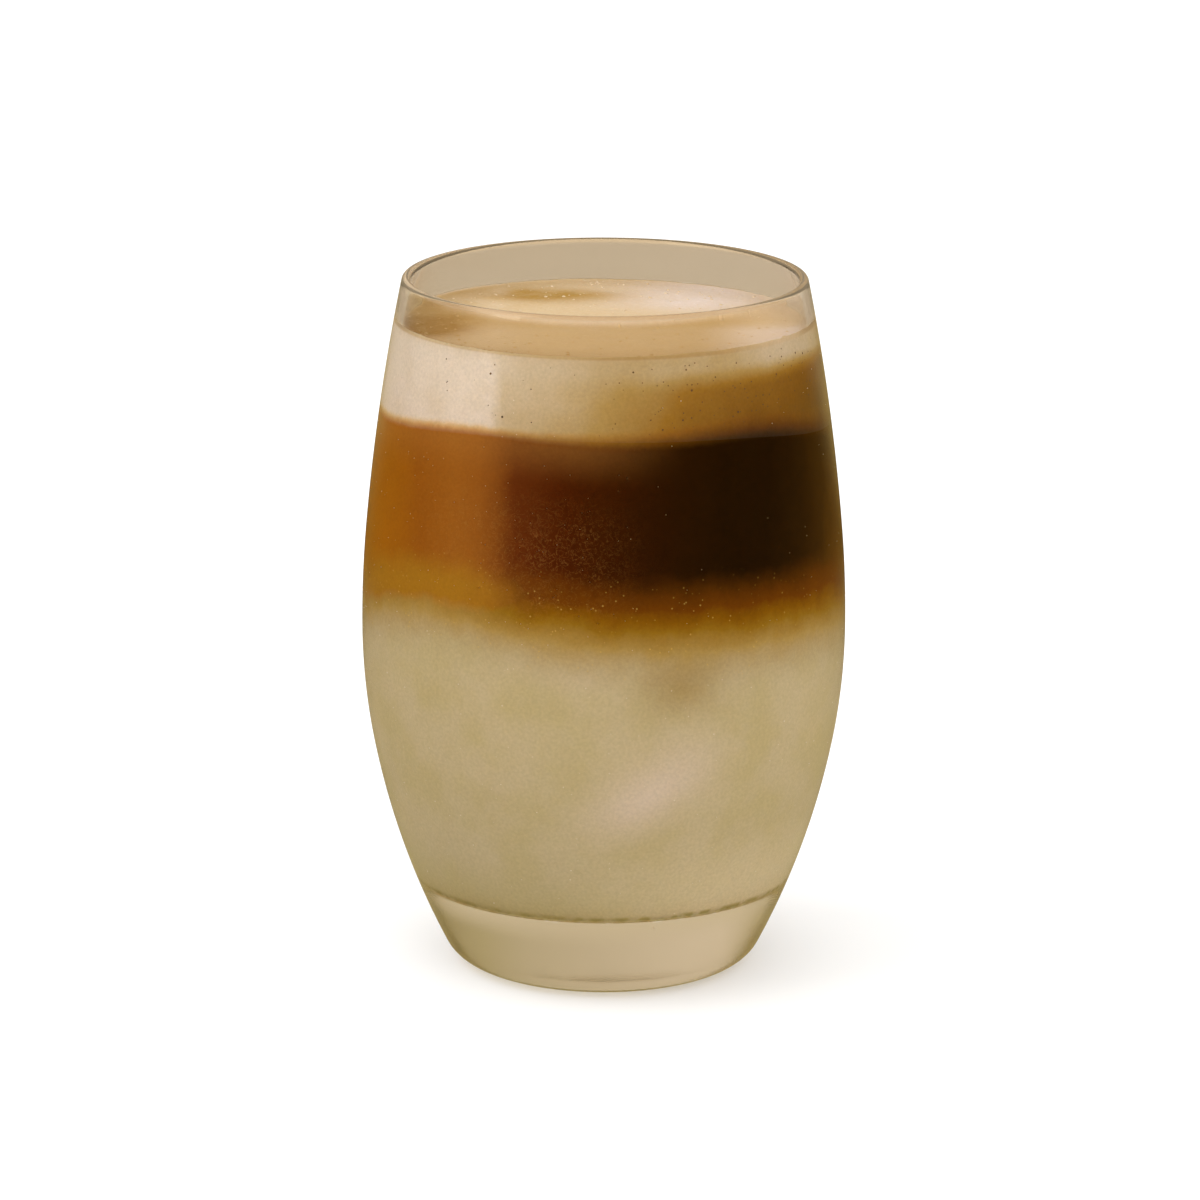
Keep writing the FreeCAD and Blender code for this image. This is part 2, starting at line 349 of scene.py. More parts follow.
def make_coffee():
    """The coffee, between the coconut milk and the foam."""
    low = edge_of(milk_top)
    high = edge_of(coffee_top)
    rings = sheet(milk_top, low)
    rings += side(low, high, COFFEE_ROWS)
    rings += reversed(sheet(coffee_top, high))
    return closed_lathe("coffee_fill", rings)


LIP_HEIGHT = 0.5 * MM
LIP_REACH = 1.1 * MM
# The foam's unevenness, coarse and fine: height, width.
UNEVENNESS = [(0.10 * MM, 4.0 * MM), (0.05 * MM, 1.3 * MM)]


def foam_relief(x, y):
    """The lip at the wall and the fine unevenness of the foam's top."""
    to_wall = inner_radius(FOAM_LEVEL) - math.hypot(x, y)
    lip = LIP_HEIGHT * math.exp(-to_wall / LIP_REACH)
    spot = Vector((x, y, 0))
    return lip + sum(height * noise.noise(spot / width) for height, width in UNEVENNESS)


def uneven_foam(x, y):
    return foam_top(x, y) + foam_relief(x, y)


def make_foam():
    """The foam: its underside on the coffee, its side on the glass and its top with a lip at the wall."""
    low = edge_of(coffee_top)
    high = edge_of(foam_top)
    wall = inner_radius(FOAM_LEVEL) + INTO_WALL
    lip = []
    for angle, height in zip(ANGLES, high):
        lip.append(height + foam_relief(wall * math.cos(angle), wall * math.sin(angle)))
    shares = [FOAM_MIDDLE + (1 - FOAM_MIDDLE) * k / FOAM_RINGS for k in range(FOAM_RINGS)]
    rings = sheet(coffee_top, low)
    rings += side(low, lip, FOAM_ROWS)
    rings += reversed(sheet(uneven_foam, high, shares))
    return closed_lathe("foam_fill", rings)


# -------- what each point knows of its place
def smoothstep(low, high, value):
    share = min(1.0, max(0.0, (value - low) / (high - low)))
    return share * share * (3 - 2 * share)


# Where the fade from coffee to milk is drawn down or up: angle round the axis, half width, fall in mm.
TONGUES = [(-88, 24, 0.8), (-142, 32, -5.2), (-20, 24, -3.2), (48, 17, 2.4), (100, 20, -3.0)]
# Where coffee stains the foam's lower edge, in the same measures with the rise in mm.
STAINED_EDGE = [(-42, 26, 1.7), (-135, 22, 0.9)]


def round_the_axis(places, point):
    """The sum of soft bumps round the axis at a point, each (angle, half width, amount)."""
    angle = math.degrees(math.atan2(point.y, point.x))
    total = 0.0
    for centre, width, amount in places:
        away = (angle - centre + 180) % 360 - 180
        total += amount * math.exp(-((away / width) ** 2))
    return total


ICE_ROUNDING = 0.28


class IceCube:
    """A melting ice cube: a box with well rounded edges, turned every way."""

    def __init__(self, centre, size, turn, glow):
        self.centre = Vector(centre) * MM
        self.half = Vector(size) * MM / 2
        self.rounding = ICE_ROUNDING * min(self.half)
        self.turn = Euler([math.radians(a) for a in turn]).to_matrix()
        self.glow = glow

    def distance(self, point):
        """Distance from a point to the cube's surface, negative inside."""
        local = self.turn.transposed() @ (point - self.centre)
        beyond = [abs(local[i]) - self.half[i] + self.rounding for i in range(3)]
        outside = Vector([max(b, 0.0) for b in beyond]).length
        return outside + min(max(beyond), 0.0) - self.rounding


ICE = [
    IceCube((5.5, -26.5, 40.5), (21.0, 15.0, 14.0), (8, -38, 9), 1.0),
    IceCube((-17.0, -20.5, 46.0), (13.0, 12.0, 19.0), (2, 4, 38), 0.6),
    IceCube((-3.5, -27.5, 60.0), (17.0, 14.0, 10.0), (-6, 12, -6), 0.5),
    IceCube((17.0, 17.0, 45.0), (17.0, 14.0, 16.0), (20, 30, 45), 0.5),
    IceCube((-12.0, 20.0, 50.0), (15.0, 13.0, 18.0), (-15, 20, 30), 0.4),
]
ICE_BLUR = 3.0 * MM
ICE_NEAR = 4.6 * MM
ICE_FADE_ALONG = 1.0
ICE_FADE_UP = 2.0


def ice_glow(point):
    """How much the ice behind a point of the milk's side shows through the milk, most at its middle."""
    glow = 0.0
    for cube in ICE:
        near = smoothstep(ICE_NEAR + ICE_BLUR, ICE_NEAR - ICE_BLUR, cube.distance(point))
        local = cube.turn.transposed() @ (point - cube.centre)
        along = ICE_FADE_ALONG * (local.x / cube.half.x) ** 2
        up = ICE_FADE_UP * (local.z / cube.half.z) ** 2
        glow += cube.glow * near * math.exp(-along - up)
    return glow


def note(piece, name, measure):
    """Store a measure of every point, which the materials read as an attribute."""
    values = [measure(vertex.co) for vertex in piece.data.vertices]
    layer = piece.data.attributes.new(name, "FLOAT", "POINT")
    layer.data.foreach_set("value", values)


def above_milk(point):
    """Height above the coconut milk in mm, as the tongues of coffee change it."""
    return (point.z - milk_top(point.x, point.y)) / MM + round_the_axis(TONGUES, point)


def above_coffee(point):
    """Height above the coffee in mm, less where coffee stains the foam's edge."""
    return (point.z - coffee_top(point.x, point.y)) / MM - round_the_axis(STAINED_EDGE, point)


def below_top(point):
    """Depth under the foam's plain level in mm."""
    return (foam_top(point.x, point.y) - point.z) / MM


def on_top(point):
    """1 on the foam's top, and 0 below it and against the glass."""
    beyond_wall = math.hypot(point.x, point.y) - inner_radius(point.z)
    return smoothstep(0.7, -0.2, below_top(point)) * smoothstep(0.3 * MM, -0.3 * MM, beyond_wall)


def nowhere(point):
    return 0.0


def note_places(piece):
    note(piece, "above_milk", above_milk)
    note(piece, "above_coffee", above_coffee)
    note(piece, "below_top", below_top)


BLOT_WOBBLE = 0.3
BLOT_WOBBLE_SIZE = 9 * MM
BLOT_SLICE = 7 * MM


def blot(point, centre, radii):
    """A soft patch of the foam's top, 1 at its centre; places in mm."""
    wobble = noise.noise(Vector((point.x, point.y, BLOT_SLICE)) / BLOT_WOBBLE_SIZE)
    along = (point.x / MM - centre[0]) / radii[0]
    across = (point.y / MM - centre[1]) / radii[1]
    return math.exp(-(along**2) - across**2) * (1 + BLOT_WOBBLE * wobble)


# Golden crema on the foam, a wedge at the left that rises to a streak behind: centre, radii, strength.
CREMA = [
    ((-30.5, -6.0), (7.5, 7.5), 2.0),
    ((-27.0, 10.0), (6.0, 12.0), 0.3),
    ((-10.0, 20.5), (11.5, 5.5), 1.15),
]
PALE_PATCHES = [((15, 20), (15, 13)), ((-18, -10), (5, 8))]


def foam_swirl(point):
    """How much golden crema lies at a point of the foam."""
    return min(1.0, sum(strength * blot(point, centre, radii) for centre, radii, strength in CREMA))


def foam_cream(point):
    """Where the foam is palest: its front, most at both ends, and two patches."""
    ends = smoothstep(0.0, -10 * MM, point.y) * smoothstep(-5 * MM, 26 * MM, abs(point.x - 2 * MM))
    front = 0.6 * smoothstep(2 * MM, -10 * MM, point.y)
    patches = [blot(point, centre, radii) for centre, radii in PALE_PATCHES]
    return min(1.0, max(ends, front, *patches))


# -------- materials
# The values between which nearly all of a noise lies.
NOISE_LOW = 0.3
NOISE_HIGH = 0.7


def srgb(red, green, blue):
    """A colour given by its screen values, 0 to 255, as linear colour."""
    linear = []
    for value in (red / 255, green / 255, blue / 255):
        linear.append(value / 12.92 if value <= 0.04045 else ((value + 0.055) / 1.055) ** 2.4)
    return (*linear, 1.0)


class Nodes:
    """The nodes of a material or a world, with short ways to add to them."""

    def __init__(self, owner, output):
        owner.use_nodes = True
        self.owner = owner
        self.tree = owner.node_tree
        self.tree.nodes.clear()
        self.output = self.add(output)

    def add(self, kind, inputs=None, **settings):
        made = self.tree.nodes.new(kind)
        for name, value in settings.items():
            setattr(made, name, value)
        for name, value in (inputs or {}).items():
            if isinstance(value, bpy.types.NodeSocket):
                self.tree.links.new(value, made.inputs[name])
            else:
                made.inputs[name].default_value = value
        return made

    def math(self, operation, first, second=0.0, third=0.0):
        return self.add("ShaderNodeMath", {0: first, 1: second, 2: third}, operation=operation).outputs[0]

    def times(self, product, *others):
        for other in others:
            product = self.math("MULTIPLY", product, other)
        return product

    def apart(self, first, second):
        return self.math("ABSOLUTE", self.math("SUBTRACT", first, second))

    def remap(self, value, low, high, to_low=0.0, to_high=1.0, smooth=True):
        inputs = {"Value": value, 1: low, 2: high, 3: to_low, 4: to_high}
        kind = "SMOOTHSTEP" if smooth else "LINEAR"
        return self.add("ShaderNodeMapRange", inputs, interpolation_type=kind).outputs[0]

    def mix(self, share, first, second, blend="MIX"):
        inputs = {0: share, 6: first, 7: second}
        return self.add("ShaderNodeMix", inputs, data_type="RGBA", blend_type=blend).outputs[2]

    def glow(self, colour, strength):
        return self.add("ShaderNodeEmission", {"Color": colour, "Strength": strength}).outputs[0]

    def mirrored(self):
        """1 for rays of mirror images, and 0 for rays refracted by glass, which count as glossy too."""
        path = self.add("ShaderNodeLightPath").outputs
        mirror = self.math("SUBTRACT", path["Is Glossy Ray"], path["Is Transmission Ray"])
        return self.math("MAXIMUM", mirror, 0.0)

    def finish(self, shader):
        self.tree.links.new(shader, self.output.inputs["Surface"])
        return self.owner


class Look(Nodes):
    """A material's nodes, which paint by a point's place on the object."""

    def __init__(self, name):
        super().__init__(bpy.data.materials.new(name), "ShaderNodeOutputMaterial")
        self.place = self.add("ShaderNodeTexCoord").outputs["Object"]
        self.x, self.y, self.z = self.add("ShaderNodeSeparateXYZ", {"Vector": self.place}).outputs

    def attribute(self, name):
        return self.add("ShaderNodeAttribute", attribute_name=name).outputs["Fac"]

    def noise(self, size, detail=2.0, curl=0.0):
        """Soft noise from 0 to 1 whose features are about size across, bent over itself by curl."""
        inputs = {"Vector": self.place, "Scale": 1 / size, "Detail": detail, "Distortion": curl}
        return self.add("ShaderNodeTexNoise", inputs).outputs["Fac"]

    def cells(self, size):
        """Distance to the nearest of scattered points about size apart."""
        inputs = {"Vector": self.place, "Scale": 1 / size}
        return self.add("ShaderNodeTexVoronoi", inputs).outputs["Distance"]

    def ramp(self, value, stops):
        """Colours along a value; stops are (value, colour) with rising values."""
        low = stops[0][0]
        high = stops[-1][0]
        share = self.remap(value, low, high, smooth=False)
        made = self.add("ShaderNodeValToRGB", {"Fac": share})
        elements = made.color_ramp.elements
        while len(elements) < len(stops):
            elements.new(1.0)
        for element, (at, colour) in zip(elements, stops):
            element.position = (at - low) / (high - low)
            element.color = colour
        return made.outputs["Color"]

    def bump(self, height, depth):
        inputs = {"Height": height, "Distance": depth, "Strength": 1.0}
        return self.add("ShaderNodeBump", inputs).outputs[0]

    def principled(self, **inputs):
        named = {name.replace("_", " "): value for name, value in inputs.items()}
        return self.add("ShaderNodeBsdfPrincipled", named).outputs[0]

    def mottled(self, size, colours, roughness, detail=2.0, relief=0.0, **inputs):
        """A finish whose colour and roughness wander between two values each, over soft patches."""
        patch = self.noise(size, detail)
        share = self.remap(patch, NOISE_LOW, NOISE_HIGH)
        if relief:
            inputs["Normal"] = self.bump(patch, relief)
        return self.principled(
            Base_Color=self.mix(share, *colours),
            Roughness=self.remap(patch, NOISE_LOW, NOISE_HIGH, *roughness),
            **inputs,
        )


# Coffee from the left side, where it is thin amber with painted light coming through it, to the right,
# where it is nearly black with painted shade, and a little painted light again at the far right edge;
# partly the coffee's own uneven mixing.
COFFEE_AND_PAINTED_LIGHT_ACROSS = [
    (-1.0, srgb(188, 124, 22)),
    (-0.88, srgb(177, 108, 12)),
    (-0.72, srgb(160, 92, 20)),
    (-0.59, srgb(166, 100, 30)),
    (-0.49, srgb(158, 93, 29)),
    (-0.42, srgb(140, 78, 25)),
    (-0.35, srgb(106, 47, 13)),
    (-0.18, srgb(82, 30, 4)),
    (0.0, srgb(66, 24, 2)),
    (0.15, srgb(51, 18, 2)),
    (0.31, srgb(40, 15, 1)),
    (0.48, srgb(32, 12, 1)),
    (0.65, srgb(30, 10, 1)),
    (0.77, srgb(42, 19, 2)),
    (0.86, srgb(62, 33, 3)),
    (0.95, srgb(108, 66, 8)),
]
# The fade from coffee down into coconut milk, by height above the milk's surface in mm.
FADE = [
    (-14.0, srgb(190, 169, 127)),
    (-10.0, srgb(187, 164, 120)),
    (-5.4, srgb(186, 153, 84)),
    (-2.0, srgb(160, 116, 28)),
    (-0.3, srgb(144, 94, 9)),
    (1.8, srgb(122, 66, 7)),
]
# Foam at the glass, from clean to stained through by the coffee; its palest end also holds a painted
# reflection of bright light.
FOAM_STAIN_AND_PAINTED_LIGHT = [
    (0.0, srgb(236, 220, 202)),
    (0.12, srgb(218, 198, 168)),
    (0.25, srgb(205, 180, 138)),
    (0.4, srgb(188, 154, 88)),
    (0.6, srgb(166, 118, 34)),
    (0.8, srgb(138, 91, 12)),
    (1.0, srgb(110, 76, 13)),
]
# How far the foam is stained from left to right: partly the coffee's real stains, partly painted light,
# pale at the left under a painted reflection whose edge is the step, and darker to the right with painted
# shade.
STAIN_AND_PAINTED_LIGHT_ACROSS = [
    (-1.0, 0.0),
    (-0.44, 0.01),
    (-0.39, 0.15),
    (-0.3, 0.18),
    (-0.18, 0.24),
    (0.0, 0.37),
    (0.15, 0.46),
    (0.31, 0.58),
    (0.48, 0.69),
    (0.65, 0.73),
    (0.8, 0.80),
    (0.95, 0.96),
]
MILK = srgb(208, 190, 152)
MILK_SHADE = srgb(202, 184, 138)
MILK_DEEP = srgb(202, 184, 135)
# Painted shade: a dark line at the milk's foot, in the glass's inner corner.
MILK_FOOT_SHADE = srgb(186, 168, 108)
# Painted highlight: a bright line at the milk's very bottom.
MILK_FOOT_HIGHLIGHT = srgb(246, 230, 178)
# Painted light, low at the right of the milk.
MILK_PAINTED_LIGHT = srgb(236, 216, 178)
MILK_WISP = srgb(168, 136, 70)
ICE_SHOWING = srgb(226, 206, 186)
HAZE = srgb(180, 122, 56)
AMBER = srgb(177, 125, 32)
EDGE_WARMTH = (1.0, 0.80, 0.42, 1.0)


def grey(value):
    return (value, value, value, 1.0)


WISP_X = 13.0 * MM
WISP_Z = 59.0 * MM
WISP_HALF_WIDTH = 10.0 * MM
WISP_HALF_HEIGHT = 9.5 * MM
WISP_SHARE = 0.7


def wisp(look):
    """Where a last wisp of coffee hangs in the milk, at the front a little to the right."""
    ragged = look.math("MULTIPLY_ADD", look.noise(5 * MM, detail=3), 8 * MM, -4 * MM)
    aside = look.apart(look.math("ADD", look.x, ragged), WISP_X)
    away = look.apart(look.z, WISP_Z)
    near = look.times(look.remap(aside, WISP_HALF_WIDTH, 0.0), look.remap(away, WISP_HALF_HEIGHT, 0.0))
    return look.times(near, look.remap(look.y, 0.0, -15 * MM, 0.0, WISP_SHARE))


def milk_colour(look):
    """Clouded milk: deeper low at the left, with painted light low at the right, a painted dark line at its
    foot and a painted bright line at its very bottom.
    """
    cloud = look.noise(11 * MM, detail=3)
    milk = look.mix(look.remap(cloud, 0.35, 0.7), MILK, MILK_SHADE)
    low = look.remap(look.z, BASE_THICKNESS + 12 * MM, BASE_THICKNESS)
    at_left = look.remap(look.x, -10 * MM, 18 * MM, 0.9, 0.0)
    milk = look.mix(look.times(low, at_left), milk, MILK_DEEP)
    # Painted light low at the right, where the lamps leave the milk darker.
    low = look.remap(look.z, BASE_THICKNESS + 17 * MM, BASE_THICKNESS + 2 * MM)
    at_right = look.remap(look.x, -10 * MM, 22 * MM, 0.0, 0.65)
    milk = look.mix(look.times(low, at_right), milk, MILK_PAINTED_LIGHT)
    milk = look.mix(wisp(look), milk, MILK_WISP)
    milk = look.mix(look.attribute("ice"), milk, ICE_SHOWING)
    # A painted dark line at the milk's foot, made ragged.
    foot = look.remap(look.z, BASE_THICKNESS + 1.3 * MM, BASE_THICKNESS + 0.6 * MM)
    jagged = look.remap(look.noise(2.2 * MM, detail=4), 0.4, 0.6, 0.1, 1.0)
    milk = look.mix(look.times(foot, jagged), milk, MILK_FOOT_SHADE)
    # A painted bright line at the milk's very bottom.
    edge = look.remap(look.z, BASE_THICKNESS + 0.5 * MM, BASE_THICKNESS + 0.1 * MM)
    return look.mix(edge, milk, MILK_FOOT_HIGHLIGHT)


def coffee_colour(look, across, above_milk):
    """Coffee, with a haze under the foam towards the left and golden light low at the left."""
    under_foam = look.remap(look.attribute("above_coffee"), -8.0, -0.5)
    haze = look.times(under_foam, look.remap(across, 0.36, -0.15, 0.0, 0.36))
    # The ramp across paints light through the coffee at its left and shade at its right.
    coffee = look.mix(haze, look.ramp(across, COFFEE_AND_PAINTED_LIGHT_ACROSS), HAZE)
    low = look.remap(above_milk, 6.0, 0.0, 0.0, 0.9)
    golden = look.times(look.remap(across, -0.12, -0.62), low)
    return look.mix(golden, coffee, AMBER)


def liquid_colour(look, across, above_milk):
    """Coconut milk, coffee and the fade between them."""
    coffee = coffee_colour(look, across, above_milk)
    fade = look.mix(1.0, look.ramp(above_milk, FADE), coffee, "LIGHTEN")
    body = look.mix(look.remap(above_milk, 0.5, 8.0), fade, coffee)
    return look.mix(look.remap(above_milk, -4.0, -13.5), body, milk_colour(look))


def stained_and_painted_foam(look, across):
    """The foam's side: clean at the left, where light and a reflection are painted, and under its top,
    stained brown towards the right, partly painted shade.
    """
    # Painted light at the left and painted shade at the right, mixed with the coffee's real stains.
    base = look.ramp(across, [(at, grey(value)) for at, value in STAIN_AND_PAINTED_LIGHT_ACROSS])
    below = look.attribute("below_top")
    shallow = look.remap(across, 0.0, 0.4, 0.72, 0.45)
    shallow = look.times(shallow, look.remap(across, 0.45, 0.72, 1.0, 0.4))
    deep = look.remap(below, 1.6, 6.4, shallow, 1.0)
    edge = look.remap(across, 0.74, 0.95, 0.2, 0.7)
    stain_and_light = look.times(base, look.math("MAXIMUM", deep, edge))
    seep = look.remap(across, -0.5, -0.2, 0.0, 0.07)
    stain_and_light = look.math("MULTIPLY_ADD", look.remap(below, 5.0, 12.0), seep, stain_and_light)
    cloud = look.remap(look.noise(7 * MM, detail=3), NOISE_LOW, NOISE_HIGH, -0.03, 0.04, smooth=False)
    return look.ramp(look.math("ADD", stain_and_light, cloud), FOAM_STAIN_AND_PAINTED_LIGHT)


CURL = srgb(196, 140, 72)
CURL_SHARE = 0.24
GLINT = srgb(232, 190, 96)
GLINT_SHARE = 0.55
GRAIN_SHADE = 0.12
# How far the soft unevenness moves the colours across, as a share of the radius, and up, in mm.
WANDER_ACROSS = 0.06
WANDER_UP = 3.4


def curls(look, across, above_milk):
    """Fine pale curls which the mist on the glass draws over the coffee, left of its middle."""
    line = look.remap(look.apart(look.noise(1.2 * MM, detail=3, curl=1.6), 0.5), 0.035, 0.0)
    patch = look.remap(look.noise(5 * MM), 0.3, 0.65, 0.55, 1.0)
    sides = look.times(look.remap(across, -0.9, -0.5), look.remap(across, 0.25, -0.2))
    heights = look.times(look.remap(above_milk, -7.0, 1.0), look.remap(above_milk, 22.0, 12.0))
    return look.times(line, look.times(sides, heights, patch), CURL_SHARE)


def glints(look, across, above_milk):
    """Small golden glints strewn over the fade from coffee to milk."""
    spot = look.remap(look.cells(1.0 * MM), 0.19, 0.09)
    patch = look.remap(look.noise(2.5 * MM), 0.46, 0.58)
    band = look.times(look.remap(above_milk, -12.0, -6.0), look.remap(above_milk, 9.0, 1.0))
    share = look.times(band, patch, look.remap(across, 0.9, 0.5, 0.3, 1.0))
    return look.times(spot, share, GLINT_SHARE)


def drink_colour(look):
    """The whole drink's colour at the glass, one function of place that all its layers share."""
    wander = look.math("SUBTRACT", look.noise(5 * MM, detail=4), 0.5)
    across = look.math("MULTIPLY_ADD", look.x, 1 / BELLY_RADIUS, look.times(wander, WANDER_ACROSS))
    above_milk = look.math("MULTIPLY_ADD", wander, WANDER_UP, look.attribute("above_milk"))
    liquid = liquid_colour(look, across, above_milk)
    foam = stained_and_painted_foam(look, across)
    fine = look.math("SUBTRACT", look.noise(1.6 * MM, detail=3), 0.5)
    above_coffee = look.math("MULTIPLY_ADD", fine, 0.5, look.attribute("above_coffee"))
    softness = look.remap(across, -0.4, 0.6, 1.0, 2.2)
    share = look.math("DIVIDE", above_coffee, softness)
    colour = look.mix(look.remap(share, -1.0, 1.0), liquid, foam)
    edge = look.times(look.remap(share, -1.4, 0.0), look.remap(share, 1.4, 0.0))
    colour = look.mix(edge, colour, EDGE_WARMTH, "MULTIPLY")
    colour = look.mix(curls(look, across, above_milk), colour, CURL)
    colour = look.mix(glints(look, across, above_milk), colour, GLINT)
    grain = look.remap(look.noise(0.5 * MM), NOISE_LOW, NOISE_HIGH, 0.0, GRAIN_SHADE, smooth=False)
    return look.mix(grain, colour, grey(0.0))


ROUGHNESS_SPREAD = 0.08


def drink_material(name, scatter, roughness, colour_of=drink_colour, relief=0.05 * MM, shine=0.0):
    """A finish for one layer of the drink: its colour, a little light let into it, and fine relief."""
    look = Look(name)
    grain = look.noise(0.7 * MM, detail=3)
    spread = (roughness - ROUGHNESS_SPREAD, roughness + ROUGHNESS_SPREAD)
    shader = look.principled(
        Base_Color=colour_of(look),
        Roughness=look.remap(grain, NOISE_LOW, NOISE_HIGH, *spread),
        Subsurface_Weight=scatter,
        Subsurface_Radius=(1.0, 0.75, 0.5),
        Subsurface_Scale=1.5 * MM,
        Specular_IOR_Level=shine,
        Normal=look.bump(grain, relief),
    )
    return look.finish(shader)


FOAM_PALE = srgb(210, 193, 183)
FOAM_TAN = srgb(195, 168, 128)
FOAM_GOLD = srgb(150, 108, 6)


def foam_colour(look):
    """The side of the foam as the drink's shared colour, and swirled crema on its top."""
    top = look.mix(look.attribute("cream"), FOAM_TAN, FOAM_PALE)
    top = look.mix(look.attribute("swirl"), top, FOAM_GOLD)
    froth = look.remap(look.cells(0.9 * MM), 0.1, 0.45)
    top = look.mix(look.times(froth, 0.10), top, FOAM_GOLD)
    return look.mix(look.attribute("on_top"), drink_colour(look), top)


def light_passes(look, shader, tint):
    """Let the lamps through the glass, a little tinted, in place of its sharp caustics."""
    shadow = look.add("ShaderNodeLightPath").outputs["Is Shadow Ray"]
    clear = look.add("ShaderNodeBsdfTransparent", {"Color": tint}).outputs[0]
    return look.add("ShaderNodeMixShader", {0: shadow, 1: shader, 2: clear}).outputs[0]


GLASS_CLEAR = (0.95, 0.935, 0.90, 1.0)
# Tints of the empty glass: painted images of the tan surroundings seen through it.
EMPTY_FRONT = (0.72, 0.59, 0.36, 1.0)
EMPTY_RIGHT = (0.94, 0.85, 0.72, 1.0)
# Painted darker sides of the empty glass.
EMPTY_EDGE = (0.432, 0.324, 0.216, 1.0)
EMPTY_BACK = (0.432, 0.342, 0.228, 1.0)
# The thick base across, in mm from the axis: painted images of what is seen through and mirrored in it,
# olive towards its sides.
BASE_ACROSS = [
    (-30.0, (0.264, 0.192, 0.06, 1.0)),
    (-20.0, (0.36, 0.276, 0.108, 1.0)),
    (-12.0, (0.456, 0.354, 0.192, 1.0)),
    (0.0, (0.54, 0.42, 0.258, 1.0)),
    (20.0, (0.72, 0.564, 0.384, 1.0)),
    (26.0, (0.552, 0.432, 0.216, 1.0)),
    (30.0, (0.36, 0.264, 0.084, 1.0)),
]
BASE_TOP = (0.624, 0.492, 0.3, 1.0)
UNDERSIDE = (0.82, 0.76, 0.56, 1.0)
RIM_BAND = 0.9 * MM
RIM_CLEARNESS = 0.75
RIM_TINT = (0.58, 0.43, 0.25, 1.0)
LIP_BAND = 1.9 * MM
# A painted highlight along the lip under the rim, at the front.
RIM_LIGHT = (1.0, 0.93, 0.84, 1.0)
CLEAR_ROUGHNESS = 0.02
MIST_ROUGHNESS = 0.16
# Amber tints of the clear water drops, which paint their glints golden.
DROP_GLINT_TINTS = ((0.74, 0.60, 0.38, 1.0), (0.58, 0.44, 0.24, 1.0))
# What glass and water let through of the lamps' light.
GLASS_SHADE = (0.94, 0.91, 0.86, 1.0)
WATER_SHADE = (0.97, 0.96, 0.94, 1.0)


def empty_tint(look):
    """The glass over the foam, painted with the tan of the surroundings seen through it: front, right,
    back, both sides painted darker, and a painted highlight along the lip under the rim.
    """
    at_right = look.times(look.remap(look.x, 14 * MM, 28 * MM), look.remap(look.x, 34 * MM, 31 * MM))
    front = look.mix(at_right, EMPTY_FRONT, EMPTY_RIGHT)
    tint = look.mix(look.remap(look.y, 8 * MM, -6 * MM), EMPTY_BACK, front)
    aside = look.remap(look.math("ABSOLUTE", look.x), 31 * MM, 34 * MM)
    above = look.remap(look.z, FOAM_LEVEL, FOAM_LEVEL + 1.5 * MM)
    tint = look.mix(look.times(aside, above), tint, EMPTY_EDGE)
    under_rim = look.remap(look.z, GLASS_TOP - LIP_BAND, GLASS_TOP - RIM_BAND, 0.0, 0.7)
    in_front = look.remap(look.y, -16 * MM, -26 * MM)
    return look.mix(look.times(under_rim, in_front), tint, RIM_LIGHT)


def base_tint(look):
    """The thick base, with other tints towards its top and on its underside, all painted images of what it
    shows through and mirrors.
    """
    tint = look.ramp(look.math("DIVIDE", look.x, MM), BASE_ACROSS)
    tint = look.mix(look.remap(look.z, 10 * MM, BASE_THICKNESS), tint, BASE_TOP)
    return look.mix(look.remap(look.z, 1.0 * MM, 0.2 * MM), tint, UNDERSIDE)


def glass_material():
    """Clear glass, tan where it is empty, as its surroundings tint it, and misted by the cold drink."""
    look = Look("clear_glass")
    rim = look.remap(look.z, GLASS_TOP - RIM_BAND, GLASS_TOP - RIM_BAND / 2)
    upper = look.mix(rim, empty_tint(look), RIM_TINT)
    above_foam = look.math("MULTIPLY_ADD", look.y, FOAM_TILT / BELLY_RADIUS, look.z)
    empty = look.remap(above_foam, FOAM_LEVEL + 0.1 * MM, FOAM_LEVEL + 0.5 * MM)
    ragged = look.math("MULTIPLY_ADD", look.noise(1.8 * MM, detail=4), 1.8 * MM, look.z)
    base = look.remap(ragged, BASE_THICKNESS + 1.6 * MM, BASE_THICKNESS + 1.0 * MM)
    tint = look.mix(base, look.mix(empty, GLASS_CLEAR, upper), base_tint(look))
    mist = look.remap(look.noise(9 * MM, detail=3), 0.35, 0.65, 0.5, 1.0)
    cold = look.times(look.remap(look.z, FOAM_LEVEL, MILK_LEVEL), mist)
    shader = look.principled(
        Base_Color=tint,
        Roughness=look.remap(cold, 0.0, 1.0, CLEAR_ROUGHNESS, MIST_ROUGHNESS, smooth=False),
        IOR=1.5,
        Transmission_Weight=look.math("MULTIPLY_ADD", rim, RIM_CLEARNESS - 1, 1.0),
        Normal=look.bump(look.times(look.noise(0.35 * MM), cold), 0.02 * MM),
    )
    return look.finish(light_passes(look, shader, GLASS_SHADE))


def ice_material():
    look = Look("ice")
    shader = look.mottled(
        5 * MM,
        (srgb(238, 232, 220), srgb(214, 200, 176)),
        (0.12, 0.3),
        detail=3,
        relief=0.3 * MM,
        Subsurface_Weight=0.4,
        Subsurface_Radius=(1.0, 0.9, 0.8),
        Subsurface_Scale=2 * MM,
    )
    return look.finish(shader)


def water_material():
    look = Look("water_drops")
    shader = look.mottled(6 * MM, DROP_GLINT_TINTS, (0.30, 0.45), IOR=1.33, Transmission_Weight=1.0)
    return look.finish(light_passes(look, shader, WATER_SHADE))


def bubble_material():
    look = Look("foam_bubbles")
    creams = (srgb(214, 190, 158), srgb(194, 166, 126))
    return look.finish(look.mottled(4 * MM, creams, (0.15, 0.3), Coat_Weight=0.25, Coat_Roughness=0.25))


